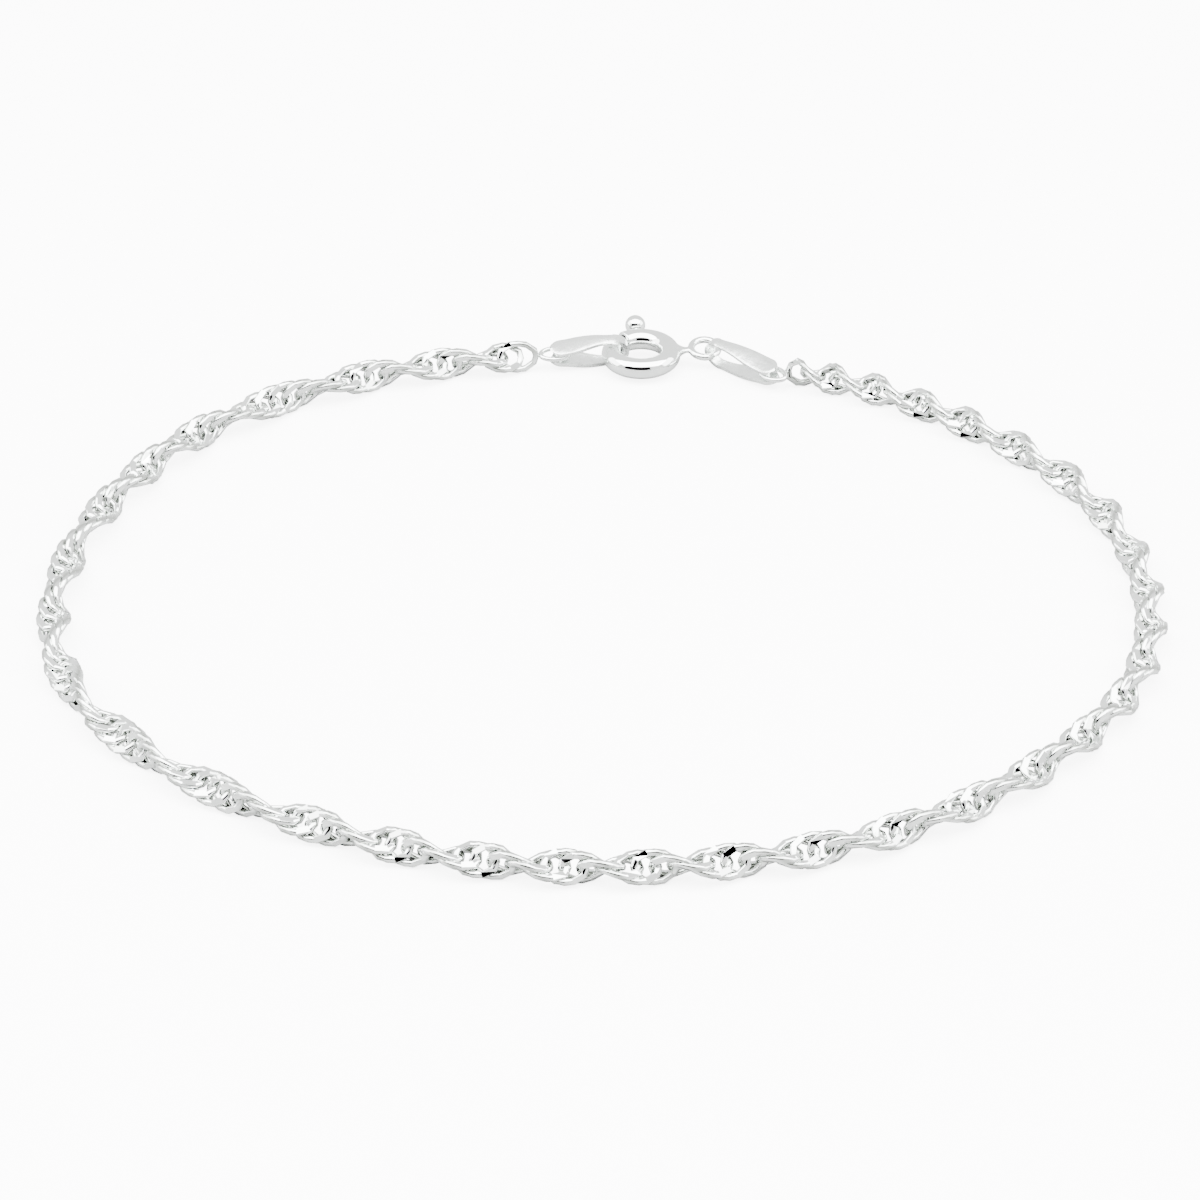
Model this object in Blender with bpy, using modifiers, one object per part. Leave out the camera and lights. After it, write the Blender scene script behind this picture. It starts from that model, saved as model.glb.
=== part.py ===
"""Singapore chain bracelet: a twisted double curb ribbon of silver, two folded end tags and a spring ring clasp.

The closed loop lies on a surface. +Z is up, the clasp is at +Y and the origin is at the bottom centre of the loop.
Lengths are in metres; sizes below are in millimetres times MM.
"""

import math

import bmesh
import bpy
import numpy as np
from mathutils import Matrix, Vector

MM = 0.001

# Chain
RIBBON_WIDTH = 2.0 * MM
RIBBON_THICKNESS = 0.76 * MM
RIM_THICKNESS = 0.27 * MM
FLAT_SHARE = 0.64  # how much of the width has the full thickness
AXIS_HEIGHT = 1.01 * MM  # the ribbon stands on its rims where it is upright
STATIONS_PER_HALF_TURN = 7
END_LINK_LENGTH = 0.9 * MM  # centre line radius of the closed end link, along and across the chain
END_LINK_WIDTH = 0.5 * MM
END_LINK_WIRE = 0.30 * MM
END_LINK_PLAY = 0.08 * MM  # between the end link and the post that it hangs on

# The loop seen from above: bearing in degrees round from the clasp, radius in mm, half turns of twist so far
BEARING_STEP = 20
ROUTE = (
    (-10, 29.2, -1.7),
    (10, 29.0, 0.6),
    (30, 29.5, 2.8),
    (50, 30.0, 4.5),
    (70, 29.9, 6.6),
    (90, 30.3, 8.3),
    (110, 30.9, 10.2),
    (130, 30.4, 11.7),
    (150, 29.9, 13.3),
    (170, 30.1, 15.5),
    (190, 30.3, 18.0),
    (210, 30.7, 20.3),
    (230, 30.8, 22.4),
    (250, 31.1, 24.7),
    (270, 30.6, 27.1),
    (290, 30.1, 29.2),
    (310, 29.4, 31.4),
    (330, 29.2, 34.4),
    (350, 28.6, 38.8),
)
CHAIN_START = 7.3  # bearings at which the ribbon stops short of the two tags
CHAIN_STOP = 337.4

# Clasp: a spring ring lying nearly flat, its back a little raised
CLASP_CENTRE = Vector((2.49 * MM, 29.03 * MM, 0.97 * MM))
CLASP_TILT = math.radians(4)
RING_RADIUS = 1.77 * MM  # centre line of the tube
TUBE_RADIUS = 0.63 * MM
BORE_RADIUS = 0.42 * MM
GAP_FROM = 126  # degrees round the ring, anticlockwise from +X
GAP_TO = 162
NECK_ANGLE = 9.5
EYELET_DISTANCE = 3.92 * MM
EYELET_RADIUS = 0.82 * MM
EYELET_WIRE = 0.44 * MM
EYELET_TILT = math.radians(10)

# Gate: the sprung wire inside the tube, and its knob
GATE_TIP = 168
GATE_TAIL = 62
GATE_RADIUS = 0.32 * MM
KNOB_ANGLE = 95.5
KNOB_DISTANCE = 3.48 * MM
KNOB_RADIUS = 0.62 * MM
STEM_RADIUS = 0.14 * MM
GATE_TRAVEL = 42
SLOT_HEIGHT = 0.4 * MM
SLOT_CLEARANCE = 7  # degrees past the stem at each end of the slot

# End tags: a strip folded round the clasp, both of its leaves gripping the end link
STRIP_THICKNESS = 0.25 * MM
FOLD_RADIUS = 0.73 * MM  # inside of the fold
FOLD_WIDTH = 0.62 * MM
PADDLE_WIDTH = 1.26 * MM
LEAF_GAP = 0.62 * MM  # between the tips
OPEN_LENGTH = 0.7 * MM  # from the fold's centre to where the leaves begin to close
PARALLEL_LENGTH = 0.4 * MM  # at the tips
POST_RADIUS = 0.2 * MM
POST_INSET = 0.72 * MM  # from the tip to the post through the end link
TAG_ROLL = math.radians(16)  # the leaves' upper faces lean towards -Y
TAGS = (  # side, fold's centre in mm, a point towards the tip, and the leaves' length from the fold's centre
    ("left", (0.77, 29.40, 1.07), (-3.0, 28.96, 0.98), 3.75),
    ("right", (7.30, 28.82, 1.06), (10.24, 26.48, 0.97), 4.2),
)

# Moves the loop so that the origin is at the middle of its box
LOOP_SHIFT = Vector((-0.16 * MM, -0.955 * MM, 0.0))

SILVER = (0.90, 0.91, 0.90, 1.0)
CLASP_SILVER = (0.93, 0.94, 0.93, 1.0)


def clear_scene():
    for old in list(bpy.data.objects):
        bpy.data.objects.remove(old)


def new_collection(name):
    collection = bpy.data.collections.new(name)
    bpy.context.scene.collection.children.link(collection)
    return collection


def metal(name, colour, roughness):
    material = bpy.data.materials.new(name)
    material.use_nodes = True
    shader = material.node_tree.nodes["Principled BSDF"]
    shader.inputs["Base Color"].default_value = colour
    shader.inputs["Metallic"].default_value = 1.0
    shader.inputs["Roughness"].default_value = roughness
    return material


def add_object(name, data, collection, matrix=None):
    thing = bpy.data.objects.new(name, data)
    collection.objects.link(thing)
    if matrix is not None:
        thing.matrix_world = matrix
    return thing


def as_cutter(thing):
    thing.hide_render = True
    thing.display_type = "WIRE"
    return thing


def smooth(thing, degrees):
    thing.data.shade_smooth()
    thing.data.set_sharp_from_angle(angle=math.radians(degrees))


def poly_curve(name, points, radius, sides_level, radii=None, closed=False):
    """A curve object's data: a round wire through the points."""
    curve = bpy.data.curves.new(name, "CURVE")
    curve.dimensions = "3D"
    curve.bevel_depth = radius
    curve.bevel_resolution = sides_level
    curve.use_fill_caps = not closed
    spline = curve.splines.new("POLY")
    spline.points.add(len(points) - 1)
    for i, point in enumerate(points):
        spline.points[i].co = (*point, 1.0)
        spline.points[i].radius = radii[i] if radii else 1.0
    spline.use_cyclic_u = closed
    return curve


def to_mesh(thing, collection):
    """The curve object made a welded mesh object of the same name and place."""
    graph = bpy.context.evaluated_depsgraph_get()
    mesh = bpy.data.meshes.new_from_object(thing.evaluated_get(graph))
    work = bmesh.new()
    work.from_mesh(mesh)
    bmesh.ops.remove_doubles(work, verts=work.verts, dist=1e-6)
    bmesh.ops.recalc_face_normals(work, faces=work.faces)
    work.to_mesh(mesh)
    work.free()
    name = thing.name
    matrix = thing.matrix_world.copy()
    bpy.data.objects.remove(thing)
    return add_object(name, mesh, collection, matrix)


def boolean(thing, other, operation):
    modifier = thing.modifiers.new(f"{operation.lower()}_{other.name}", "BOOLEAN")
    modifier.operation = operation
    modifier.object = other
    modifier.solver = "EXACT"


def route_value(bearing, column):
    """A column of ROUTE at a bearing, on a smooth curve through the rows."""
    place = (bearing - ROUTE[0][0]) / BEARING_STEP
    row = min(max(int(place), 0), len(ROUTE) - 2)
    t = place - row
    before = ROUTE[max(row - 1, 0)][column]
    start = ROUTE[row][column]
    end = ROUTE[row + 1][column]
    after = ROUTE[min(row + 2, len(ROUTE) - 1)][column]
    leave = (end - before) / 2 if row > 0 else end - start
    arrive = (after - start) / 2 if row + 2 < len(ROUTE) else end - start
    return (
        start
        + leave * t
        + (3 * (end - start) - 2 * leave - arrive) * t**2
        + (leave + arrive - 2 * (end - start)) * t**3
    )


def route_point(bearing):
    radius = route_value(bearing, 1) * MM
    angle = math.radians(bearing)
    return Vector((-radius * math.sin(angle), radius * math.cos(angle), AXIS_HEIGHT))


def ribbon_outline():
    """The chain's section: full thickness over its middle, thinner at the two rims."""
    half_width = RIBBON_WIDTH / 2
    flat = half_width * FLAT_SHARE
    return (
        (half_width, RIM_THICKNESS / 2),
        (flat, RIBBON_THICKNESS / 2),
        (-flat, RIBBON_THICKNESS / 2),
        (-half_width, RIM_THICKNESS / 2),
        (-half_width, -RIM_THICKNESS / 2),
        (-flat, -RIBBON_THICKNESS / 2),
        (flat, -RIBBON_THICKNESS / 2),
        (half_width, -RIM_THICKNESS / 2),
    )


def ribbon_stations():
    """Bearings along the chain, at equal steps of twist."""
    fine = np.linspace(CHAIN_START, CHAIN_STOP, 4000)
    turns = np.array([route_value(bearing, 2) for bearing in fine])
    count = round((turns[-1] - turns[0]) * STATIONS_PER_HALF_TURN) + 1
    return np.interp(np.linspace(turns[0], turns[-1], count), turns, fine)


def end_link(name, centre, along, across, cutters):
    """The closed link that the two leaves of a tag hold, as a helper to be joined to the ribbon."""
    points = [
        centre
        + along * END_LINK_LENGTH * math.cos(turn)
        + across * END_LINK_WIDTH * math.sin(turn)
        for turn in np.linspace(0, 2 * math.pi, 16, endpoint=False)
    ]
    wire = poly_curve(name, points, END_LINK_WIRE / 2, 1, closed=True)
    return as_cutter(to_mesh(add_object(name, wire, cutters), cutters))


def make_chain(parts, cutters, tags, material):
    outline = bpy.data.curves.new("ribbon_section", "CURVE")
    outline.dimensions = "2D"
    edge = outline.splines.new("POLY")
    edge.points.add(len(ribbon_outline()) - 1)
    for point, (across, through) in zip(edge.points, ribbon_outline()):
        point.co = (across, through, 0, 1)
    edge.use_cyclic_u = True
    section = as_cutter(add_object("ribbon_section", outline, cutters))

    curve = bpy.data.curves.new("singapore_chain", "CURVE")
    curve.dimensions = "3D"
    curve.twist_mode = "Z_UP"
    curve.bevel_mode = "OBJECT"
    curve.bevel_object = section
    curve.use_fill_caps = True
    stations = ribbon_stations()
    spline = curve.splines.new("POLY")
    spline.points.add(len(stations) - 1)
    for point, bearing in zip(spline.points, stations):
        point.co = (*(route_point(bearing) + LOOP_SHIFT), 1.0)
        point.tilt = math.pi * route_value(bearing, 2)
    chain = to_mesh(add_object("singapore_chain", curve, parts), parts)
    for tag in tags:
        link = end_link(f"end_link_{tag['side']}", tag["link"], tag["along"], tag["across"], cutters)
        boolean(chain, link, "UNION")
    chain.data.materials.append(material)
    return chain


def leaf_height(x, length):
    """Half the distance between the leaves' middle surfaces, x along the tag from the fold's centre."""
    fold = FOLD_RADIUS + STRIP_THICKNESS / 2
    closed = (LEAF_GAP + STRIP_THICKNESS) / 2
    share = (x - OPEN_LENGTH) / (length - PARALLEL_LENGTH - OPEN_LENGTH)
    share = min(max(share, 0), 1)
    return fold + (closed - fold) * share**2 * (3 - 2 * share)


def leaf_width(x, length):
    """The strip's half width: narrow at the fold, a rounded paddle at the tip."""
    paddle = PADDLE_WIDTH / 2
    share = min(max(x / (length - 2 * paddle), 0), 1)
    width = FOLD_WIDTH / 2 + (paddle - FOLD_WIDTH / 2) * share**2 * (3 - 2 * share)
    past = x - (length - paddle)
    if past > 0:
        width = math.sqrt(max(paddle**2 - past**2, (0.2 * paddle) ** 2))
    return width


def make_tag(name, tag, parts, cutters, material):
    """A strip from one tip round the fold to the other tip, given a thickness, with the post between its leaves."""
    length = tag["length"]
    leaf = [length * (1 - (1 - share) ** 1.4) for share in np.linspace(0, 1, 14)]
    rows = [(x, -leaf_height(x, length), leaf_width(x, length)) for x in reversed(leaf)]
    fold = FOLD_RADIUS + STRIP_THICKNESS / 2
    for turn in np.linspace(-90, -270, 12)[1:-1]:
        angle = math.radians(turn)
        rows.append((fold * math.cos(angle), fold * math.sin(angle), FOLD_WIDTH / 2))
    rows += [(x, leaf_height(x, length), leaf_width(x, length)) for x in leaf]

    work = bmesh.new()
    edges = []
    for x, z, half in rows:
        edges.append([work.verts.new((x, side * half, z)) for side in (-1, 1)])
    for (a, b), (c, d) in zip(edges, edges[1:]):
        work.faces.new((a, b, d, c))
    mesh = bpy.data.meshes.new(name)
    work.to_mesh(mesh)
    work.free()
    strip = add_object(name, mesh, parts, tag["matrix"])
    wall = strip.modifiers.new("thickness", "SOLIDIFY")
    wall.thickness = STRIP_THICKNESS
    wall.offset = 0
    wall.use_even_offset = True

    bpy.ops.mesh.primitive_cylinder_add(
        vertices=10, radius=POST_RADIUS, depth=LEAF_GAP + STRIP_THICKNESS
    )
    post = bpy.context.object
    post.name = f"post_{tag['side']}"
    for collection in post.users_collection:
        collection.objects.unlink(post)
    cutters.objects.link(post)
    post.matrix_world = tag["matrix"] @ Matrix.Translation((length - POST_INSET, 0, 0))
    boolean(strip, as_cutter(post), "UNION")
    strip.data.materials.append(material)
    return strip


def clasp_matrix():
    return Matrix.Translation(CLASP_CENTRE + LOOP_SHIFT) @ Matrix.Rotation(CLASP_TILT, 4, "X")


def on_ring(degrees, distance=RING_RADIUS):
    angle = math.radians(degrees)
    return Vector((distance * math.cos(angle), distance * math.sin(angle), 0))


def ring_arc(first, last, steps):
    return [on_ring(turn) for turn in np.linspace(first, last, steps)]


def tag_place(side, fold_centre, towards, length):
    """Where a tag lies: x along it from the fold to the tip, y across it, z through its leaves."""
    centre = Vector(fold_centre) * MM
    along = (Vector(towards) * MM - centre).normalized()
    lean = -TAG_ROLL if along.x < 0 else TAG_ROLL
    level = Vector((0, 0, 1)).cross(along).normalized()
    frame = Matrix((along, level, along.cross(level))).transposed().to_4x4()
    matrix = Matrix.Translation(centre + LOOP_SHIFT) @ frame @ Matrix.Rotation(lean, 4, "X")
    post = length * MM - POST_INSET
    link = post - POST_RADIUS - END_LINK_PLAY - END_LINK_WIRE / 2 + END_LINK_LENGTH
    return {
        "side": side,
        "length": length * MM,
        "matrix": matrix,
        "along": matrix.col[0].xyz,
        "across": matrix.col[1].xyz,
        "link": matrix @ Vector((link, 0, 0)),
    }


def make_neck(cutters, frame):
    """The pinched waist between the ring and its eyelet, wider than it is thick where it leaves the ring."""
    reach = (0.0, 0.28, 0.50, 0.72, 0.92, 1.15)  # mm out from the middle of the tube's wall
    width = (1.00, 0.80, 0.56, 0.40, 0.34, 0.32)
    points = [Vector(((RING_RADIUS + 0.25 * MM) + r * MM, 0, 0)) for r in reach]
    curve = poly_curve("neck", points, 0.5 * MM, 2, radii=width)
    place = frame @ Matrix.Rotation(math.radians(NECK_ANGLE), 4, "Z") @ Matrix.Diagonal((1, 1.35, 0.9, 1))
    return as_cutter(to_mesh(add_object("neck", curve, cutters, place), cutters))


def make_eyelet(cutters, frame):
    bpy.ops.mesh.primitive_torus_add(
        major_radius=EYELET_RADIUS,
        minor_radius=EYELET_WIRE / 2,
        major_segments=20,
        minor_segments=8,
    )
    eyelet = bpy.context.object
    eyelet.name = "eyelet"
    for collection in eyelet.users_collection:
        collection.objects.unlink(eyelet)
    cutters.objects.link(eyelet)
    eyelet.matrix_world = (
        frame
        @ Matrix.Rotation(math.radians(NECK_ANGLE), 4, "Z")
        @ Matrix.Translation((EYELET_DISTANCE, 0, 0))
        @ Matrix.Rotation(EYELET_TILT, 4, "X")
    )
    return as_cutter(eyelet)


def make_slot(cutters, frame):
    """A curved bar that opens the tube's outer side for the knob's stem."""
    inner = RING_RADIUS + 0.1 * MM
    outer = RING_RADIUS + TUBE_RADIUS + 0.3 * MM
    first = KNOB_ANGLE - GATE_TRAVEL - SLOT_CLEARANCE
    last = KNOB_ANGLE + SLOT_CLEARANCE
    work = bmesh.new()
    start = Matrix.Rotation(math.radians(first), 4, "Z")
    corners = [
        work.verts.new(start @ Vector((r, 0, z * SLOT_HEIGHT / 2)))
        for r, z in ((inner, -1), (outer, -1), (outer, 1), (inner, 1))
    ]
    face = work.faces.new(corners)
    bmesh.ops.spin(
        work,
        geom=[face, *face.edges, *face.verts],
        cent=(0, 0, 0),
        axis=(0, 0, 1),
        angle=math.radians(last - first),
        steps=12,
    )
    bmesh.ops.recalc_face_normals(work, faces=work.faces)
    mesh = bpy.data.meshes.new("slot")
    work.to_mesh(mesh)
    work.free()
    return as_cutter(add_object("slot", mesh, cutters, frame))


def make_clasp_body(parts, cutters, material):
    frame = clasp_matrix()
    tube = poly_curve("clasp_body", ring_arc(GAP_FROM, GAP_TO - 360, 46), TUBE_RADIUS, 4)
    body = to_mesh(add_object("clasp_body", tube, parts, frame), parts)
    past = 8  # degrees that the bore's cutter sticks out of each end
    hole = poly_curve("bore", ring_arc(GAP_FROM + past, GAP_TO - 360 - past, 44), BORE_RADIUS, 3)
    bore = as_cutter(to_mesh(add_object("bore", hole, cutters, frame), cutters))
    boolean(body, make_neck(cutters, frame), "UNION")
    boolean(body, make_eyelet(cutters, frame), "UNION")
    boolean(body, bore, "DIFFERENCE")
    boolean(body, make_slot(cutters, frame), "DIFFERENCE")
    body.data.materials.append(material)
    return body


def make_gate(parts, cutters, material):
    """The wire that closes the gap, with the knob that draws it back. Its origin is on the hinge axis."""
    frame = clasp_matrix()
    wire = poly_curve("clasp_gate", ring_arc(GATE_TIP, GATE_TAIL, 20), GATE_RADIUS, 3)
    gate = to_mesh(add_object("clasp_gate", wire, parts, frame), parts)

    stem_points = [on_ring(KNOB_ANGLE, d) for d in (RING_RADIUS, KNOB_DISTANCE)]
    stem_curve = poly_curve("stem", stem_points, STEM_RADIUS, 2)
    stem = as_cutter(to_mesh(add_object("stem", stem_curve, cutters, frame), cutters))
    bpy.ops.mesh.primitive_uv_sphere_add(segments=16, ring_count=10, radius=KNOB_RADIUS)
    knob = bpy.context.object
    knob.name = "knob"
    for collection in knob.users_collection:
        collection.objects.unlink(knob)
    cutters.objects.link(knob)
    knob.matrix_world = frame @ Matrix.Translation(on_ring(KNOB_ANGLE, KNOB_DISTANCE))
    boolean(gate, stem, "UNION")
    boolean(gate, as_cutter(knob), "UNION")
    gate.data.materials.append(material)
    return gate


def main():
    clear_scene()
    parts = new_collection("singapore_bracelet")
    cutters = new_collection("cutters")
    tags = [tag_place(*row) for row in TAGS]
    make_chain(parts, cutters, tags, metal("chain_silver", SILVER, 0.12))
    for tag in tags:
        name = f"end_tag_{tag['side']}"
        make_tag(name, tag, parts, cutters, metal(f"{name}_silver", SILVER, 0.25))
    clasp = make_clasp_body(parts, cutters, metal("clasp_silver", CLASP_SILVER, 0.08))
    gate = make_gate(parts, cutters, metal("gate_silver", CLASP_SILVER, 0.1))
    smooth(clasp, 40)
    smooth(gate, 40)


main()
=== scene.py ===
# %% [markdown]
# # A singapore chain bracelet
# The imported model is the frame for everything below: a twisted ribbon that stands for the chain, two folded
# end tags, and a spring ring clasp with a gate that slides. Here each of them gets the form and the metal that
# the real thing shows. Sizes are named in millimetres, and MM turns them into metres where a piece is made.

# %% Load the frame
import math

import bmesh
import bpy
import numpy as np
from mathutils import Matrix, Vector


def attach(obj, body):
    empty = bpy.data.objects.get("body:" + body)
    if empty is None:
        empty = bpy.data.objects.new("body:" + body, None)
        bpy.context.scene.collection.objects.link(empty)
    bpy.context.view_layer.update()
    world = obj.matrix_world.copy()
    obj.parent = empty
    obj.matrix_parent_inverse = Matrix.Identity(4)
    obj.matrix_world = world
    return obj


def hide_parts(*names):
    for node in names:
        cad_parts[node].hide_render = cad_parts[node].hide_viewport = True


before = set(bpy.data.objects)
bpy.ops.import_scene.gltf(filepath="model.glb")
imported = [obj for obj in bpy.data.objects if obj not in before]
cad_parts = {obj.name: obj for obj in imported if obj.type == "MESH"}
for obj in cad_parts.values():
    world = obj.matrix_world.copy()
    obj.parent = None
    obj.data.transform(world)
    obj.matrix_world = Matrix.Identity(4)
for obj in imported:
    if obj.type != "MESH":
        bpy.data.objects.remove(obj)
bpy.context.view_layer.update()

MM = 0.001

# %% [markdown]
# ## The camera
# The photograph looks down on the loop at 29 degrees, through a long lens from about 0.3 m away. The
# distance matters as much as the angle: it sets how much larger the near side of the loop looks.

# %% Camera
CAMERA_ELEVATION = math.radians(29)
CAMERA_DISTANCE = 315 * MM
CAMERA_VIEW = math.radians(12.215)
LOOP_SHIFT = Vector((-0.16, -0.955, 0))  # in mm, as in the part's source

camera_data = bpy.data.cameras.new("camera")
camera_data.angle = CAMERA_VIEW
camera_data.clip_start = 10 * MM
camera = bpy.data.objects.new("camera", camera_data)
bpy.context.scene.collection.objects.link(camera)
camera.location = LOOP_SHIFT * MM + CAMERA_DISTANCE * Vector(
    (0, -math.cos(CAMERA_ELEVATION), math.sin(CAMERA_ELEVATION))
)
camera.rotation_euler = (math.pi / 2 - CAMERA_ELEVATION, 0, 0)
bpy.context.scene.camera = camera
print("camera at", [round(v, 4) for v in camera.location])

# %% [markdown]
# ## Helpers for node trees
# Shader trees and geometry trees are both built by small steps: add a node, set what is fixed, join the rest.
# One helper does that for both, so that each tree below reads like a recipe.


# %% Node helpers
def add_node(tree, kind, settings=None, **inputs):
    """A node of a kind; settings are its properties, inputs its sockets by name (with _ for a space)."""
    made = tree.nodes.new(kind)
    for name, value in (settings or {}).items():
        setattr(made, name, value)
    for name, value in inputs.items():
        feed(tree, made, name.replace("_", " "), value)
    return made


def feed(tree, made, name, value):
    """Sets or joins one input socket, by its name or its number."""
    socket = made.inputs[name]
    if isinstance(value, bpy.types.NodeSocket):
        tree.links.new(value, socket)
    else:
        socket.default_value = value


def calculate(tree, operation, *values):
    """A Math node, with its values in order."""
    made = add_node(tree, "ShaderNodeMath", {"operation": operation})
    for place, value in enumerate(values):
        feed(tree, made, place, value)
    return made.outputs[0]


def vector_math(tree, operation, first, second):
    """A Vector Math node of two vectors, or of a vector and a factor where the operation is SCALE."""
    made = add_node(tree, "ShaderNodeVectorMath", {"operation": operation}, Vector=first)
    feed(tree, made, "Scale" if operation == "SCALE" else 1, second)
    return made.outputs[0]


def ramp(tree, value, low, high, start=0.0, end=1.0):
    """A value's smooth change from start to end as it goes from low to high."""
    made = add_node(tree, "ShaderNodeMapRange", {"interpolation_type": "SMOOTHSTEP"}, Value=value)
    for name, number in (("From Min", low), ("From Max", high), ("To Min", start), ("To Max", end)):
        feed(tree, made, name, number)
    return made.outputs["Result"]


def mix_colour(tree, share, first, second):
    made = add_node(tree, "ShaderNodeMix", {"data_type": "RGBA"})
    for place, value in ((0, share), (6, first), (7, second)):
        feed(tree, made, place, value)
    return made.outputs[2]


def new_tree(name, kind, inputs, outputs):
    """A node group with its sockets: inputs are (name, type, value or None), outputs (name, type)."""
    tree = bpy.data.node_groups.new(name, kind)
    for label, socket_type, value in inputs:
        socket = tree.interface.new_socket(label, in_out="INPUT", socket_type=socket_type)
        if value is not None:
            socket.default_value = value
    for label, socket_type in outputs:
        tree.interface.new_socket(label, in_out="OUTPUT", socket_type=socket_type)
    return tree, tree.nodes.new("NodeGroupInput"), tree.nodes.new("NodeGroupOutput")


FLOAT, INTEGER, COLOUR, VECTOR = "NodeSocketFloat", "NodeSocketInt", "NodeSocketColor", "NodeSocketVector"
GEOMETRY, MATERIAL = "NodeSocketGeometry", "NodeSocketMaterial"

# %% [markdown]
# ## Silver
# Every piece is sterling silver: a metal that shows almost nothing of its own and mostly what stands round it.
# What tells one piece from another is how it was finished. So one group makes the faint marks that all of them
# share, fine scratches, shallow dents and a slight change of tone, and each material gives it its own values.


# %% The group of marks that all the silver shares
def make_silver_marks():
    tree, given, result = new_tree(
        "silver_marks",
        "ShaderNodeTree",
        [
            ("Colour", COLOUR, (0.90, 0.93, 0.91, 1)),
            ("Tarnish Colour", COLOUR, (0.55, 0.57, 0.54, 1)),
            ("Tarnish", FLOAT, 0.3),
            ("Roughness", FLOAT, 0.1),
            ("Roughness Spread", FLOAT, 0.08),
            ("Mark Size", FLOAT, 0.4 * MM),
            ("Dent Depth", FLOAT, 0.002 * MM),
        ],
        [("Colour", COLOUR), ("Roughness", FLOAT), ("Normal", VECTOR)],
    )
    place = add_node(tree, "ShaderNodeTexCoord").outputs["Object"]
    scale = calculate(tree, "DIVIDE", 1.0, given.outputs["Mark Size"])
    broad = add_node(tree, "ShaderNodeTexNoise", Vector=place, Scale=scale, Detail=3.0)
    stain = ramp(tree, broad.outputs["Fac"], 0.45, 0.75)
    amount = calculate(tree, "MULTIPLY", stain, given.outputs["Tarnish"])
    colour = mix_colour(tree, amount, given.outputs["Colour"], given.outputs["Tarnish Colour"])

    fine_scale = calculate(tree, "MULTIPLY", scale, 6.0)
    fine = add_node(tree, "ShaderNodeTexNoise", Vector=place, Scale=fine_scale, Detail=4.0)
    uneven = calculate(tree, "MULTIPLY", fine.outputs["Fac"], given.outputs["Roughness Spread"])
    roughness = calculate(tree, "ADD", uneven, given.outputs["Roughness"])
    bump = add_node(tree, "ShaderNodeBump", Height=broad.outputs["Fac"], Distance=given.outputs["Dent Depth"])
    tree.links.new(colour, result.inputs["Colour"])
    tree.links.new(roughness, result.inputs["Roughness"])
    tree.links.new(bump.outputs["Normal"], result.inputs["Normal"])
    return tree


silver_marks = make_silver_marks()
print("silver marks:", len(silver_marks.nodes), "nodes")


# %% A silver material
def make_silver(name, **values):
    """Silver whose finish is set by the values of the marks group, given with _ for a space."""
    material = bpy.data.materials.new(name)
    material.use_nodes = True
    tree = material.node_tree
    shader = tree.nodes["Principled BSDF"]
    shader.inputs["Metallic"].default_value = 1.0
    marks = add_node(tree, "ShaderNodeGroup", {"node_tree": silver_marks}, **values)
    tree.links.new(marks.outputs["Colour"], shader.inputs["Base Color"])
    tree.links.new(marks.outputs["Roughness"], shader.inputs["Roughness"])
    tree.links.new(marks.outputs["Normal"], shader.inputs["Normal"])
    return material


tag_silver = make_silver(
    "tag_silver", Roughness=0.18, Roughness_Spread=0.2, Tarnish=0.35, Mark_Size=0.5 * MM, Dent_Depth=0.03 * MM
)
clasp_silver = make_silver("clasp_silver", Roughness=0.03, Roughness_Spread=0.04, Tarnish=0.1)

# %% [markdown]
# The links need one thing more. Their cut flats are as bright as a mirror, their round wire is softer, and
# the metal is painted darker towards the middle of the chain, a painted shade between the strands. The link
# tree below writes these two as attributes: "round_wire", and the share of painted shade at each point.


# %% Link silver
def make_link_silver():
    material = make_silver("link_silver", Roughness=0.02, Roughness_Spread=0.06, Tarnish=0.15)
    tree = material.node_tree
    shader = tree.nodes["Principled BSDF"]
    marks = next(node for node in tree.nodes if node.type == "GROUP")
    round_wire = add_node(tree, "ShaderNodeAttribute", {"attribute_name": "round_wire"}).outputs["Fac"]
    painted_crevice_shade = add_node(tree, "ShaderNodeAttribute", {"attribute_name": "painted_crevice_shade"}).outputs["Fac"]
    # Painted shade: the base colour darkens to a dark grey towards the ribbon's middle plane, between the strands.
    shade = calculate(tree, "MULTIPLY", ramp(tree, painted_crevice_shade, 0.1, 1.0), 0.75)
    colour = mix_colour(tree, shade, marks.outputs["Colour"], (0.33, 0.35, 0.32, 1))
    polished = calculate(tree, "MULTIPLY", round_wire, marks.outputs["Roughness"])
    roughness = calculate(tree, "ADD", polished, 0.015)
    tree.links.new(colour, shader.inputs["Base Color"])
    tree.links.new(roughness, shader.inputs["Roughness"])
    return material


link_silver = make_link_silver()

# %% [markdown]
# ## The chain
# A singapore chain is a double curb: each flat oval link passes through the next two, so that they lie woven
# into a ribbon. The ribbon is filed flat on both faces and twisted. One link and the way along are all that it
# takes. Geometry Nodes bend a wire into a link, cut it, set it down again and again in a straight row, and
# then bend the whole row along the route, turned by the route's own twist.

# %% The route of the loop
ROUTE = (  # bearing in degrees from the clasp, radius in mm, half turns of twist so far; as in the source
    (-10, 29.2, -1.7),
    (10, 29.0, 0.6),
    (30, 29.5, 2.8),
    (50, 30.0, 4.5),
    (70, 29.9, 6.6),
    (90, 30.3, 8.3),
    (110, 30.9, 10.2),
    (130, 30.4, 11.7),
    (150, 29.9, 13.3),
    (170, 30.1, 15.5),
    (190, 30.3, 18.0),
    (210, 30.7, 20.3),
    (230, 30.8, 22.4),
    (250, 31.1, 24.7),
    (270, 30.6, 27.1),
    (290, 30.1, 29.2),
    (310, 29.4, 31.4),
    (330, 29.2, 34.4),
    (350, 28.6, 38.8),
)
BEARING_STEP = 20
AXIS_HEIGHT = 1.01
CHAIN_START = 7.3
CHAIN_STOP = 337.4


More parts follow.
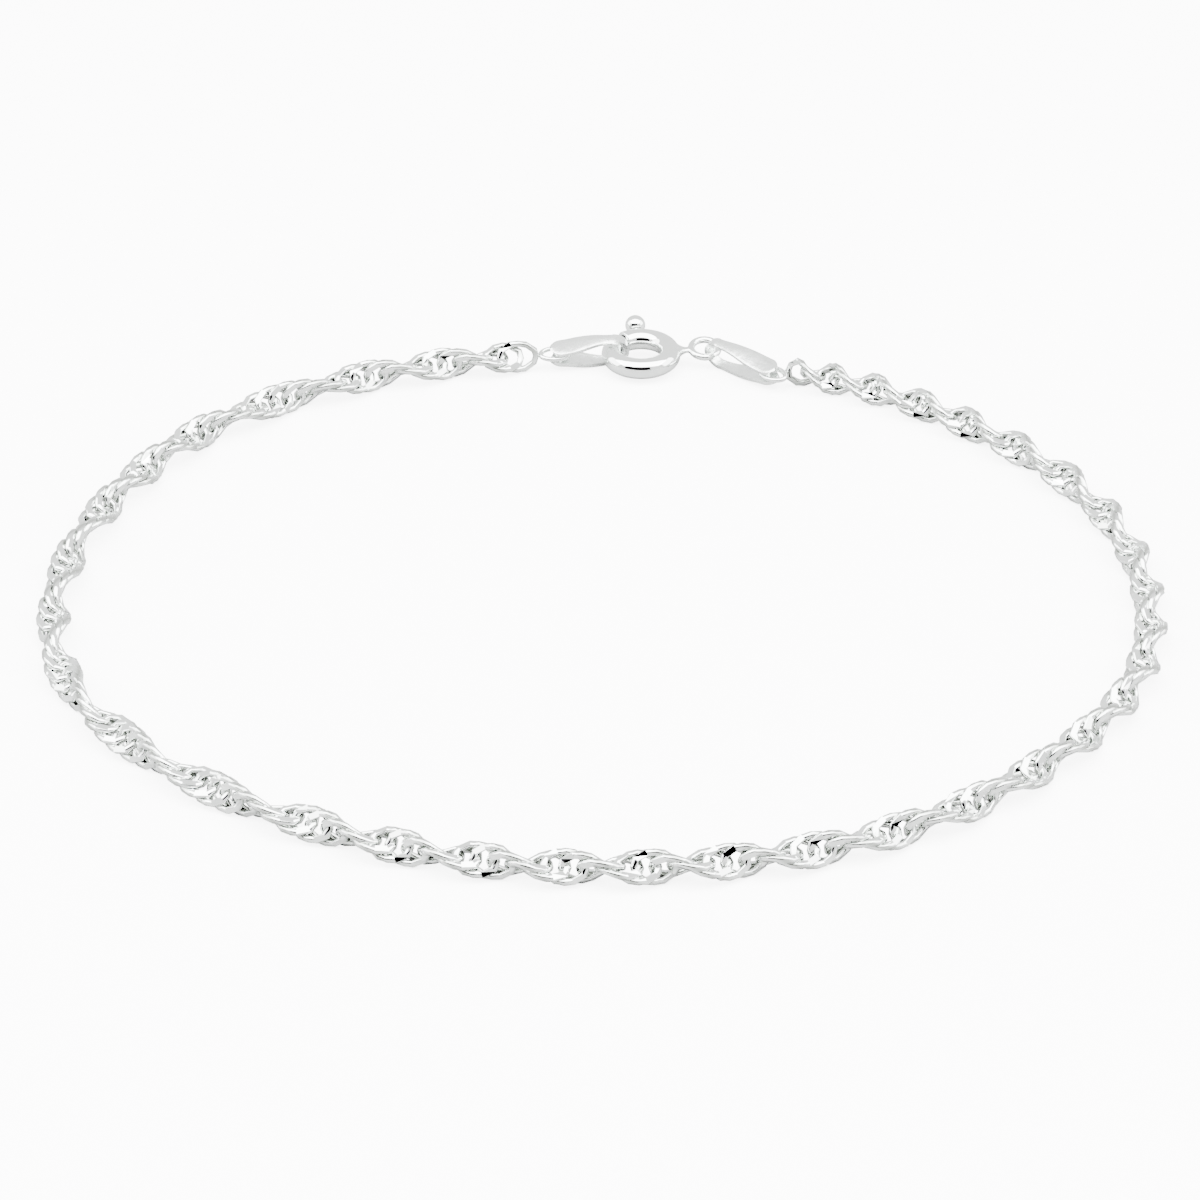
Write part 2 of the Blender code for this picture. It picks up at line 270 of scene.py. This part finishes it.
def route_value(bearing, column):
    """A column of ROUTE at a bearing, on a smooth curve through the rows."""
    place = (bearing - ROUTE[0][0]) / BEARING_STEP
    row = min(max(int(place), 0), len(ROUTE) - 2)
    t = place - row
    before = ROUTE[max(row - 1, 0)][column]
    start = ROUTE[row][column]
    end = ROUTE[row + 1][column]
    after = ROUTE[min(row + 2, len(ROUTE) - 1)][column]
    leave = (end - before) / 2 if row > 0 else end - start
    arrive = (after - start) / 2 if row + 2 < len(ROUTE) else end - start
    return (
        start
        + leave * t
        + (3 * (end - start) - 2 * leave - arrive) * t**2
        + (leave + arrive - 2 * (end - start)) * t**3
    )


def route_point(bearing):
    radius = route_value(bearing, 1)
    angle = math.radians(bearing)
    return (Vector((-radius * math.sin(angle), radius * math.cos(angle), AXIS_HEIGHT)) + LOOP_SHIFT) * MM


# %% The route as a curve
ROUTE_POINTS = 900


def make_route_curve():
    curve = bpy.data.curves.new("chain_links", "CURVE")
    curve.dimensions = "3D"
    curve.twist_mode = "Z_UP"
    spline = curve.splines.new("POLY")
    spline.points.add(ROUTE_POINTS - 1)
    for point, bearing in zip(spline.points, np.linspace(CHAIN_START, CHAIN_STOP, ROUTE_POINTS)):
        point.co = (*route_point(bearing), 1)
        point.tilt = math.pi * route_value(bearing, 2)
    return curve


route_curve = make_route_curve()
route_length = route_curve.splines[0].calc_length()
print("chain length", round(route_length / MM, 1), "mm")

# %% The link tree
LINK_PITCH = 0.93 * MM
LINK_HALF_LENGTH = 1.11 * MM
LINK_HALF_WIDTH = 0.80 * MM
LINK_WIRE_RADIUS = 0.195 * MM
LINK_WEAVE = 0.25 * MM
FLAT_WIDENING = 0.6
FLAT_SHARE = 5.2  # degrees by which the corners of a flat are moved apart from even steps round the link
CUT_LEVEL = 0.33 * MM


def position(tree):
    return add_node(tree, "GeometryNodeInputPosition").outputs[0]


def axes_of(tree, vector):
    apart = add_node(tree, "ShaderNodeSeparateXYZ", Vector=vector)
    return apart.outputs["X"], apart.outputs["Y"], apart.outputs["Z"]


def joined(tree, x, y, z):
    return add_node(tree, "ShaderNodeCombineXYZ", X=x, Y=y, Z=z).outputs[0]


def moved(tree, geometry, place):
    return add_node(tree, "GeometryNodeSetPosition", Geometry=geometry, Position=place).outputs[0]


def kept(tree, geometry, name, value, domain):
    """The geometry with a number stored on it under a name, for the material to read."""
    made = add_node(
        tree, "GeometryNodeStoreNamedAttribute", {"data_type": "FLOAT", "domain": domain},
        Geometry=geometry, Name=name, Value=value,
    )
    return made.outputs[0]


def link_path(tree, given):
    """An oval of 12 points that rises and falls twice, with a long straight stretch where each flat is cut."""
    circle = add_node(tree, "GeometryNodeCurvePrimitiveCircle", Resolution=12, Radius=1.0)
    share = add_node(tree, "GeometryNodeSplineParameter").outputs["Factor"]
    turn = calculate(tree, "MULTIPLY", share, 2 * math.pi)
    ripple = calculate(tree, "SINE", calculate(tree, "MULTIPLY", turn, 4.0))
    angle = calculate(tree, "SUBTRACT", turn, calculate(tree, "MULTIPLY", ripple, math.radians(FLAT_SHARE)))
    double = calculate(tree, "SINE", calculate(tree, "MULTIPLY", angle, 2.0))
    place = joined(
        tree,
        calculate(tree, "MULTIPLY", calculate(tree, "COSINE", angle), given.outputs["Half Length"]),
        calculate(tree, "MULTIPLY", calculate(tree, "SINE", angle), given.outputs["Half Width"]),
        calculate(tree, "MULTIPLY", calculate(tree, "MULTIPLY", double, given.outputs["Weave Height"]), -1.0),
    )
    path = moved(tree, circle.outputs["Curve"], place)
    return add_node(tree, "GeometryNodeSetCurveNormal", {"mode": "Z_UP"}, Curve=path).outputs[0]


def link_section(tree, given):
    """The wire's six-sided section, its upper and lower sides wide enough for the cut."""
    circle = add_node(tree, "GeometryNodeCurvePrimitiveCircle", Resolution=6, Radius=given.outputs["Wire Radius"])
    x, y, _ = axes_of(tree, position(tree))
    height = calculate(tree, "DIVIDE", calculate(tree, "ABSOLUTE", y), given.outputs["Wire Radius"])
    widen = calculate(tree, "ADD", calculate(tree, "MULTIPLY", height, FLAT_WIDENING), 1.0)
    return moved(tree, circle.outputs["Curve"], joined(tree, calculate(tree, "MULTIPLY", x, widen), y, 0.0))


def cut_flat(tree, given, geometry):
    """The link with nothing higher or lower than the level of the cut, its flats sharp and the rest smooth."""
    level = given.outputs["Cut Level"]
    x, y, z = axes_of(tree, position(tree))
    between = calculate(
        tree, "MAXIMUM", calculate(tree, "MINIMUM", z, level), calculate(tree, "MULTIPLY", level, -1.0)
    )
    cut = moved(tree, geometry, joined(tree, x, y, between))
    height = calculate(tree, "DIVIDE", calculate(tree, "ABSOLUTE", z), level)
    is_round = calculate(tree, "LESS_THAN", height, 0.995)
    marked = kept(tree, cut, "round_wire", is_round, "FACE")
    # The share of painted shade: 1 at the ribbon's middle plane, 0 at the level of the cut.
    deep = kept(tree, marked, "painted_crevice_shade", calculate(tree, "SUBTRACT", 1.0, height), "POINT")
    flat = add_node(tree, "GeometryNodeSetShadeSmooth", Geometry=deep, Shade_Smooth=False)
    return add_node(
        tree, "GeometryNodeSetShadeSmooth", Geometry=flat.outputs[0], Selection=is_round, Shade_Smooth=True
    ).outputs[0]


def straight_row(tree, given, link):
    """The same link again and again along X, each turned a little by its own play."""
    line = add_node(
        tree, "GeometryNodeMeshLine", Count=given.outputs["Links"],
        Offset=joined(tree, given.outputs["Pitch"], 0.0, 0.0),
    )
    loose = given.outputs["Looseness"]
    most = joined(tree, loose, loose, loose)
    play = add_node(tree, "FunctionNodeRandomValue", {"data_type": "FLOAT_VECTOR"}, Seed=given.outputs["Seed"])
    feed(tree, play, 0, vector_math(tree, "SCALE", most, -1.0))
    feed(tree, play, 1, most)
    laid = add_node(
        tree, "GeometryNodeInstanceOnPoints", Points=line.outputs["Mesh"], Instance=link, Rotation=play.outputs[0]
    )
    return add_node(tree, "GeometryNodeRealizeInstances", Geometry=laid.outputs[0]).outputs[0]


def bend_along(tree, given, row):
    """The straight row bent along the route: X becomes the way along it, Y and Z its turning normals."""
    route = add_node(tree, "GeometryNodeSetCurveNormal", {"mode": "Z_UP"}, Curve=given.outputs["Route"])
    x, y, z = axes_of(tree, position(tree))
    along = add_node(
        tree, "GeometryNodeSampleCurve", {"mode": "LENGTH", "use_all_curves": True},
        Curves=route.outputs[0], Length=calculate(tree, "ADD", x, given.outputs["Start"]),
    )
    normal = along.outputs["Normal"]
    binormal = vector_math(tree, "CROSS_PRODUCT", along.outputs["Tangent"], normal)
    aside = vector_math(tree, "ADD", vector_math(tree, "SCALE", normal, y), vector_math(tree, "SCALE", binormal, z))
    return moved(tree, row, vector_math(tree, "ADD", along.outputs["Position"], aside))


def make_link_tree():
    tree, given, result = new_tree(
        "curb_link_chain",
        "GeometryNodeTree",
        [
            ("Route", GEOMETRY, None),
            ("Links", INTEGER, 200),
            ("Pitch", FLOAT, LINK_PITCH),
            ("Start", FLOAT, LINK_HALF_LENGTH),
            ("Half Length", FLOAT, LINK_HALF_LENGTH),
            ("Half Width", FLOAT, LINK_HALF_WIDTH),
            ("Wire Radius", FLOAT, LINK_WIRE_RADIUS),
            ("Weave Height", FLOAT, LINK_WEAVE),
            ("Cut Level", FLOAT, CUT_LEVEL),
            ("Looseness", FLOAT, math.radians(4)),
            ("Seed", INTEGER, 7),
            ("Metal", MATERIAL, None),
        ],
        [("Chain", GEOMETRY)],
    )
    wire = add_node(
        tree, "GeometryNodeCurveToMesh", Curve=link_path(tree, given), Profile_Curve=link_section(tree, given)
    )
    link = cut_flat(tree, given, wire.outputs["Mesh"])
    chain = bend_along(tree, given, straight_row(tree, given, link))
    finished = add_node(tree, "GeometryNodeSetMaterial", Geometry=chain, Material=given.outputs["Metal"])
    tree.links.new(finished.outputs[0], result.inputs["Chain"])
    return tree


link_tree = make_link_tree()
print("link tree:", len(link_tree.nodes), "nodes")


# %% From a tree to a plain mesh
def add_object(name, data):
    made = bpy.data.objects.new(name, data)
    bpy.context.scene.collection.objects.link(made)
    return made


def frozen(thing):
    """The object as a plain mesh of the same name, with its modifiers worked in."""
    graph = bpy.context.evaluated_depsgraph_get()
    mesh = bpy.data.meshes.new_from_object(thing.evaluated_get(graph), depsgraph=graph)
    name = thing.name
    mesh.name = name
    thing.modifiers.clear()
    bpy.data.objects.remove(thing)
    return add_object(name, mesh)


def grow(name, data, tree, **inputs):
    """Runs a geometry tree on the data and keeps the result as a plain mesh object."""
    start = add_object(name, data)
    modifier = start.modifiers.new("tree", "NODES")
    modifier.node_group = tree
    for item in tree.interface.items_tree:
        key = item.name.replace(" ", "_")
        if item.in_out == "INPUT" and key in inputs:
            modifier[item.identifier] = inputs[key]
    return frozen(start)


def triangles(thing):
    return sum(len(face.vertices) - 2 for face in thing.data.polygons)


# %% Lay the links
first_centre = LINK_HALF_LENGTH + LINK_WIRE_RADIUS
row_length = route_length - 2 * first_centre
link_count = round(row_length / LINK_PITCH) + 1
chain_links = grow(
    "chain_links", route_curve, link_tree,
    Links=link_count, Pitch=row_length / (link_count - 1), Start=first_centre, Metal=link_silver,
)
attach(chain_links, "bracelet")
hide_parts("singapore_chain")
print(link_count, "links,", triangles(chain_links), "triangles")

# %% [markdown]
# ## The clasp and the tags
# These are few and solid, so they are modelled as a jeweller would make them: tube and wire bent to shape,
# sheet folded over, and all of it joined, pierced and rounded off. They are drawn in millimetres, each in its
# own place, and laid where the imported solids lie.

# %% Tools for the bench
CLASP_CENTRE = Vector((2.49, 29.03, 0.97))
CLASP_TILT = math.radians(4)
CLASP_PLACE = (
    Matrix.Scale(MM, 4) @ Matrix.Translation(CLASP_CENTRE + LOOP_SHIFT) @ Matrix.Rotation(CLASP_TILT, 4, "X")
)


def draw_wire(name, points, radius, closed=False, radii=None, roundness=8):
    """A round wire through the points, as one welded solid."""
    curve = bpy.data.curves.new(name, "CURVE")
    curve.dimensions = "3D"
    curve.bevel_depth = radius
    curve.bevel_resolution = roundness
    curve.use_fill_caps = not closed
    spline = curve.splines.new("POLY")
    spline.points.add(len(points) - 1)
    for i, point in enumerate(points):
        spline.points[i].co = (*point, 1)
        spline.points[i].radius = radii[i] if radii is not None else 1
    spline.use_cyclic_u = closed
    wire = frozen(add_object(name, curve))
    work = bmesh.new()
    work.from_mesh(wire.data)
    bmesh.ops.remove_doubles(work, verts=work.verts, dist=0.0001)
    bmesh.ops.recalc_face_normals(work, faces=work.faces)
    work.to_mesh(wire.data)
    work.free()
    return wire


def combine(thing, other, operation):
    """The thing joined to the other (UNION) or cut by it (DIFFERENCE); the other is used up."""
    modifier = thing.modifiers.new("combine", "BOOLEAN")
    modifier.operation = operation
    modifier.solver = "EXACT"
    modifier.object = other
    made = frozen(thing)
    bpy.data.objects.remove(other)
    return made


def finish_piece(thing, place, metal, body, node_name):
    """Lays a finished piece in its place, smooth and in its metal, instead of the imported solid."""
    thing.data.transform(place)
    thing.data.shade_smooth()
    thing.data.materials.clear()
    thing.data.materials.append(metal)
    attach(thing, body)
    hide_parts(node_name)
    print(thing.name, triangles(thing), "triangles")


def on_ring(degrees, distance):
    angle = math.radians(degrees)
    return Vector((distance * math.cos(angle), distance * math.sin(angle), 0))


# %% The clasp's body
RING_RADIUS = 1.77
TUBE_RADIUS = 0.63
BORE_RADIUS = 0.42
GAP_FROM, GAP_TO = 126, 162  # degrees round the ring
NECK_ANGLE = 9.5
NECK_REACH = (0.0, 0.28, 0.50, 0.72, 0.92, 1.15)  # out from the tube's middle
NECK_WIDTH = (0.50, 0.40, 0.28, 0.20, 0.17, 0.16)
NECK_SHAPE = Matrix.Diagonal((1, 1.35, 0.9, 1))
EYELET_DISTANCE = 3.92
EYELET_RADIUS = 0.82
EYELET_WIRE = 0.44
EYELET_TILT = math.radians(10)
KNOB_ANGLE = 95.5
GATE_TRAVEL = 42
SLOT_HEIGHT = 0.4
SLOT_CLEARANCE = 7
GRAIN = 0.045  # edge of the cells that the solid is remade from
BLEND_REACH = 0.75  # how far round the neck's root the metal is worked smooth


def make_neck():
    across = Matrix.Rotation(math.radians(NECK_ANGLE), 4, "Z") @ NECK_SHAPE
    steps = np.linspace(0, NECK_REACH[-1], 24)
    widths = np.interp(steps, NECK_REACH, NECK_WIDTH)
    points = [Vector((RING_RADIUS + 0.25 + step, 0, 0)) for step in steps]
    neck = draw_wire("neck", points, 1.0, radii=widths)
    neck.data.transform(across)
    return neck


def make_eyelet():
    turns = np.linspace(0, 2 * math.pi, 48, endpoint=False)
    points = [EYELET_RADIUS * Vector((math.cos(turn), math.sin(turn), 0)) for turn in turns]
    eyelet = draw_wire("eyelet", points, EYELET_WIRE / 2, closed=True)
    eyelet.data.transform(
        Matrix.Rotation(math.radians(NECK_ANGLE), 4, "Z")
        @ Matrix.Translation((EYELET_DISTANCE, 0, 0))
        @ Matrix.Rotation(EYELET_TILT, 4, "X")
    )
    return eyelet


def make_slot():
    """A curved bar, spun from a rectangle, that opens the tube's outer side for the knob's stem."""
    inner, outer = RING_RADIUS + 0.1, RING_RADIUS + TUBE_RADIUS + 0.3
    first, last = KNOB_ANGLE - GATE_TRAVEL - SLOT_CLEARANCE, KNOB_ANGLE + SLOT_CLEARANCE
    work = bmesh.new()
    start = Matrix.Rotation(math.radians(first), 4, "Z")
    half = SLOT_HEIGHT / 2
    corners = [(inner, -half), (outer, -half), (outer, half), (inner, half)]
    face = work.faces.new([work.verts.new(start @ Vector((r, 0, z))) for r, z in corners])
    bmesh.ops.spin(
        work, geom=[face, *face.edges, *face.verts], cent=(0, 0, 0), axis=(0, 0, 1),
        angle=math.radians(last - first), steps=24,
    )
    bmesh.ops.recalc_face_normals(work, faces=work.faces)
    mesh = bpy.data.meshes.new("slot")
    work.to_mesh(mesh)
    work.free()
    return add_object("slot", mesh)


def worked_smooth(thing, times, weights=None):
    """Rounds off a fine solid; weights say how much of that each of its points gets."""
    modifier = thing.modifiers.new("smooth", "SMOOTH")
    modifier.factor = 0.5
    modifier.iterations = times
    if weights is not None:
        group = thing.vertex_groups.new(name="worked")
        for index in np.flatnonzero(weights > 0.01):
            group.add([int(index)], float(weights[index]), "REPLACE")
        modifier.vertex_group = group.name
    return frozen(thing)


def points_of(mesh):
    flat = np.empty(len(mesh.vertices) * 3)
    mesh.vertices.foreach_get("co", flat)
    return flat.reshape(-1, 3)


def true_up(mesh, near):
    """Sets the skin of the bent tube exactly round, where it is already within a hair of that."""
    places = points_of(mesh)
    away = np.hypot(places[:, 0], places[:, 1])
    out = away - RING_RADIUS
    skin = np.hypot(out, places[:, 2])
    share = np.clip(2 - np.abs(skin - TUBE_RADIUS) / 0.012, 0, 1) * (1 - near)
    grow_by = 1 + share * (TUBE_RADIUS / np.maximum(skin, 0.01) - 1)
    scale = (RING_RADIUS + out * grow_by) / np.maximum(away, 0.01)
    places[:, :2] *= scale[:, None]
    places[:, 2] *= grow_by
    mesh.vertices.foreach_set("co", places.ravel())
    mesh.update()


def make_clasp_body():
    turns = np.radians(np.linspace(GAP_FROM, GAP_TO - 360, 140))
    tube = draw_wire("spring_ring", [on_ring(math.degrees(t), RING_RADIUS) for t in turns], TUBE_RADIUS)
    body = combine(tube, make_neck(), "UNION")
    body = combine(body, make_eyelet(), "UNION")
    past = 8
    turns = np.linspace(GAP_FROM + past, GAP_TO - 360 - past, 140)
    body = combine(body, draw_wire("bore", [on_ring(t, RING_RADIUS) for t in turns], BORE_RADIUS), "DIFFERENCE")
    body = combine(body, make_slot(), "DIFFERENCE")
    grain = body.modifiers.new("grain", "REMESH")
    grain.mode = "VOXEL"
    grain.voxel_size = GRAIN
    body = worked_smooth(frozen(body), 8)
    root = on_ring(NECK_ANGLE, RING_RADIUS + TUBE_RADIUS)
    distance = np.linalg.norm(points_of(body.data) - np.array(root), axis=1)
    near = np.clip(1.6 - 1.6 * distance / BLEND_REACH, 0, 1)
    body = worked_smooth(body, 90, near)
    true_up(body.data, np.clip(2 * near, 0, 1))
    return body


clasp_body = make_clasp_body()
finish_piece(clasp_body, CLASP_PLACE, clasp_silver, "bracelet", "clasp_body")

# %% The gate and its knob
GATE_TIP, GATE_TAIL = 168, 62
GATE_RADIUS = 0.32
KNOB_DISTANCE = 3.48
KNOB_RADIUS = 0.62
STEM_RADIUS = 0.14


def make_gate():
    wire = draw_wire("gate", [on_ring(t, RING_RADIUS) for t in np.linspace(GATE_TIP, GATE_TAIL, 60)], GATE_RADIUS)
    ends = (RING_RADIUS, KNOB_DISTANCE)
    gate = combine(wire, draw_wire("stem", [on_ring(KNOB_ANGLE, d) for d in ends], STEM_RADIUS), "UNION")
    bpy.ops.mesh.primitive_uv_sphere_add(segments=40, ring_count=24, radius=KNOB_RADIUS)
    knob = bpy.context.object
    knob.data.transform(Matrix.Translation(on_ring(KNOB_ANGLE, KNOB_DISTANCE)))
    return combine(gate, knob, "UNION")


gate = make_gate()
finish_piece(gate, CLASP_PLACE, clasp_silver, "gate", "clasp_gate")
gate.data.set_sharp_from_angle(angle=math.radians(50))

# %% [markdown]
# A tag is one strip of sheet. It runs from one tip round the fold to the other, widens into two paddles that
# close on each other, and a post between them holds the chain's last link.

# %% Tags
STRIP_THICKNESS = 0.25
FOLD_RADIUS = 0.73
FOLD_WIDTH = 0.62
PADDLE_WIDTH = 1.26
LEAF_GAP = 0.62
OPEN_LENGTH = 0.7
PARALLEL_LENGTH = 0.4
POST_RADIUS = 0.2
POST_INSET = 0.72
TAG_ROLL = math.radians(16)
EDGE_ROUNDING = 0.09
DOME = 0.05  # how much lower a leaf's edges lie than its middle
TAGS = (  # side, fold's centre, a point towards the tip, and the leaves' length, as in the source
    ("left", (0.77, 29.40, 1.07), (-3.0, 28.96, 0.98), 3.75),
    ("right", (7.30, 28.82, 1.06), (10.24, 26.48, 0.97), 4.2),
)


def tag_place(fold_centre, towards):
    """Where a tag lies: x along it from the fold to the tip, y across it, z through its leaves."""
    centre = Vector(fold_centre)
    along = (Vector(towards) - centre).normalized()
    level = Vector((0, 0, 1)).cross(along).normalized()
    turned = Matrix((along, level, along.cross(level))).transposed().to_4x4()
    lean = Matrix.Rotation(-TAG_ROLL if along.x < 0 else TAG_ROLL, 4, "X")
    return Matrix.Scale(MM, 4) @ Matrix.Translation(centre + LOOP_SHIFT) @ turned @ lean


def eased(share):
    share = min(max(share, 0), 1)
    return share**2 * (3 - 2 * share)


def leaf_height(x, length):
    """Half the distance between the leaves' middle surfaces, x along the tag from the fold's centre."""
    fold = FOLD_RADIUS + STRIP_THICKNESS / 2
    closed = (LEAF_GAP + STRIP_THICKNESS) / 2
    return fold + (closed - fold) * eased((x - OPEN_LENGTH) / (length - PARALLEL_LENGTH - OPEN_LENGTH))


def leaf_width(x, length):
    """The strip's half width: narrow at the fold, a rounded paddle at the tip."""
    paddle = PADDLE_WIDTH / 2
    width = FOLD_WIDTH / 2 + (paddle - FOLD_WIDTH / 2) * eased(x / (length - 2 * paddle))
    past = max(x - (length - paddle), 0)
    return min(width, math.sqrt(max(paddle**2 - past**2, (0.12 * paddle) ** 2)))


def strip_rows(length):
    """Middle line of the strip from tip to tip: where it is, its half width and how it is domed."""
    tip_start = length - PADDLE_WIDTH / 2
    body = [tip_start * share for share in np.linspace(0, 1, 22)[:-1]]
    tip = [tip_start + PADDLE_WIDTH / 2 * math.sin(turn) for turn in np.linspace(0, math.pi / 2, 12)]
    leaf = body + tip
    rows = [(x, -leaf_height(x, length), leaf_width(x, length), DOME) for x in reversed(leaf)]
    fold = FOLD_RADIUS + STRIP_THICKNESS / 2
    for turn in np.linspace(-math.pi / 2, -3 * math.pi / 2, 26)[1:-1]:
        rows.append((fold * math.cos(turn), fold * math.sin(turn), FOLD_WIDTH / 2, 0))
    return rows + [(x, leaf_height(x, length), leaf_width(x, length), -DOME) for x in leaf]


def make_strip(name, length):
    work = bmesh.new()
    across = np.linspace(-1, 1, 7)
    grid = [
        [work.verts.new((x, half * share, z + dome * share**2)) for share in across]
        for x, z, half, dome in strip_rows(length)
    ]
    for near, far in zip(grid, grid[1:]):
        for i in range(len(across) - 1):
            work.faces.new((near[i], near[i + 1], far[i + 1], far[i]))
    mesh = bpy.data.meshes.new(name)
    work.to_mesh(mesh)
    work.free()
    strip = add_object(name, mesh)
    wall = strip.modifiers.new("thickness", "SOLIDIFY")
    wall.thickness = STRIP_THICKNESS
    wall.offset = 0
    wall.use_even_offset = True
    edge = strip.modifiers.new("edge", "BEVEL")
    edge.width = EDGE_ROUNDING
    edge.segments = 3
    edge.angle_limit = math.radians(50)
    return frozen(strip)


def make_tag(side, length):
    strip = make_strip(f"folded_tag_{side}", length)
    ends = [Vector((length - POST_INSET, 0, side_z * (LEAF_GAP + STRIP_THICKNESS) / 2)) for side_z in (-1, 1)]
    return combine(strip, draw_wire("post", ends, POST_RADIUS), "UNION")


for side, fold_centre, towards, length in TAGS:
    tag = make_tag(side, length)
    finish_piece(tag, tag_place(fold_centre, towards), tag_silver, "bracelet", f"end_tag_{side}")
    tag.data.set_sharp_from_angle(angle=math.radians(60))

# %% The links that hang on the posts
END_LINK_LENGTH = 0.9
END_LINK_WIDTH = 0.5
END_LINK_WIRE = 0.30
END_LINK_PLAY = 0.08

for side, fold_centre, towards, length in TAGS:
    centre = length - POST_INSET - POST_RADIUS - END_LINK_PLAY - END_LINK_WIRE / 2 + END_LINK_LENGTH
    turns = np.linspace(0, 2 * math.pi, 40, endpoint=False)
    oval = [Vector((centre + END_LINK_LENGTH * math.cos(t), END_LINK_WIDTH * math.sin(t), 0)) for t in turns]
    ring = draw_wire(f"end_link_{side}", oval, END_LINK_WIRE / 2, closed=True, roundness=4)
    finish_piece(ring, tag_place(fold_centre, towards), clasp_silver, "bracelet", "singapore_chain")

# %% [markdown]
# ## Floor and light
# The photograph is lit as jewellery is in a white tent: pale on all sides, one broad soft lamp high in front, and
# one dark opening where the lens looks in. That opening is what draws the black strokes on the ring and on the
# cut flats of the links. The floor shows pure white to the lens, as in the photograph.

# %% Floor
FLOOR_SIZE = 0.6
FLOOR_GLOW = 6.0


def make_floor():
    mesh = bpy.data.meshes.new("floor")
    half = FLOOR_SIZE / 2
    mesh.from_pydata([(-half, -half, 0), (half, -half, 0), (half, half, 0), (-half, half, 0)], [], [(0, 1, 2, 3)])
    floor = add_object("floor", mesh)
    material = bpy.data.materials.new("floor_white")
    material.use_nodes = True
    tree = material.node_tree
    shader = tree.nodes["Principled BSDF"]
    seen = add_node(tree, "ShaderNodeLightPath").outputs["Is Camera Ray"]
    shade = mix_colour(tree, seen, (0.3, 0.3, 0.3, 1), (0.9, 0.9, 0.9, 1))
    tree.links.new(shade, shader.inputs["Base Color"])
    tree.links.new(calculate(tree, "MULTIPLY", seen, FLOOR_GLOW), shader.inputs["Emission Strength"])
    shader.inputs["Emission Color"].default_value = (1, 1, 1, 1)
    shader.inputs["Roughness"].default_value = 0.6
    mesh.materials.append(material)
    return floor


floor = make_floor()

# %% The tent
TENT_LIGHT = 2.0
DARK_LOW, DARK_HIGH = math.sin(math.radians(9)), math.sin(math.radians(39))
DARK_LEFT, DARK_RIGHT = -1.1, 0.5  # tangents of the opening's bearings from the lens's own


def make_tent():
    world = bpy.data.worlds.new("tent")
    world.use_nodes = True
    tree = world.node_tree
    x, y, z = axes_of(tree, add_node(tree, "ShaderNodeTexCoord").outputs["Generated"])
    toward = calculate(tree, "MULTIPLY", y, -1.0)
    bearing = calculate(tree, "DIVIDE", x, calculate(tree, "MAXIMUM", toward, 0.001))
    dark = ramp(tree, toward, 0.0, 0.05)
    for value, low, high in ((z, DARK_LOW, DARK_HIGH), (bearing, DARK_LEFT, DARK_RIGHT)):
        dark = calculate(tree, "MULTIPLY", dark, ramp(tree, value, low - 0.02, low + 0.02))
        dark = calculate(tree, "MULTIPLY", dark, ramp(tree, value, high - 0.02, high + 0.02, 1.0, 0.0))
    strength = calculate(tree, "MULTIPLY", calculate(tree, "SUBTRACT", 1.0, dark), TENT_LIGHT)
    tree.links.new(strength, tree.nodes["Background"].inputs["Strength"])
    tree.nodes["Background"].inputs["Color"].default_value = (1, 1, 1, 1)
    bpy.context.scene.world = world


make_tent()


# %% Lamps
def soft_light(name, place, width, height, radiance):
    """A rectangular soft lamp of a given brightness that faces the middle of the loop."""
    data = bpy.data.lights.new(name, "AREA")
    data.shape = "RECTANGLE"
    data.size = width
    data.size_y = height
    data.energy = radiance * math.pi * width * height
    light = add_object(name, data)
    light.location = place
    light.rotation_euler = (-Vector(place)).to_track_quat("-Z", "Y").to_euler()
    return light


soft_light("top_lamp", (0.0, -0.13, 0.48), 1.1, 0.5, 12.0)
soft_light("left_lamp", (-0.5, 0.0, 0.25), 0.4, 0.4, 7.0)
soft_light("right_lamp", (0.5, 0.0, 0.25), 0.4, 0.4, 7.0)
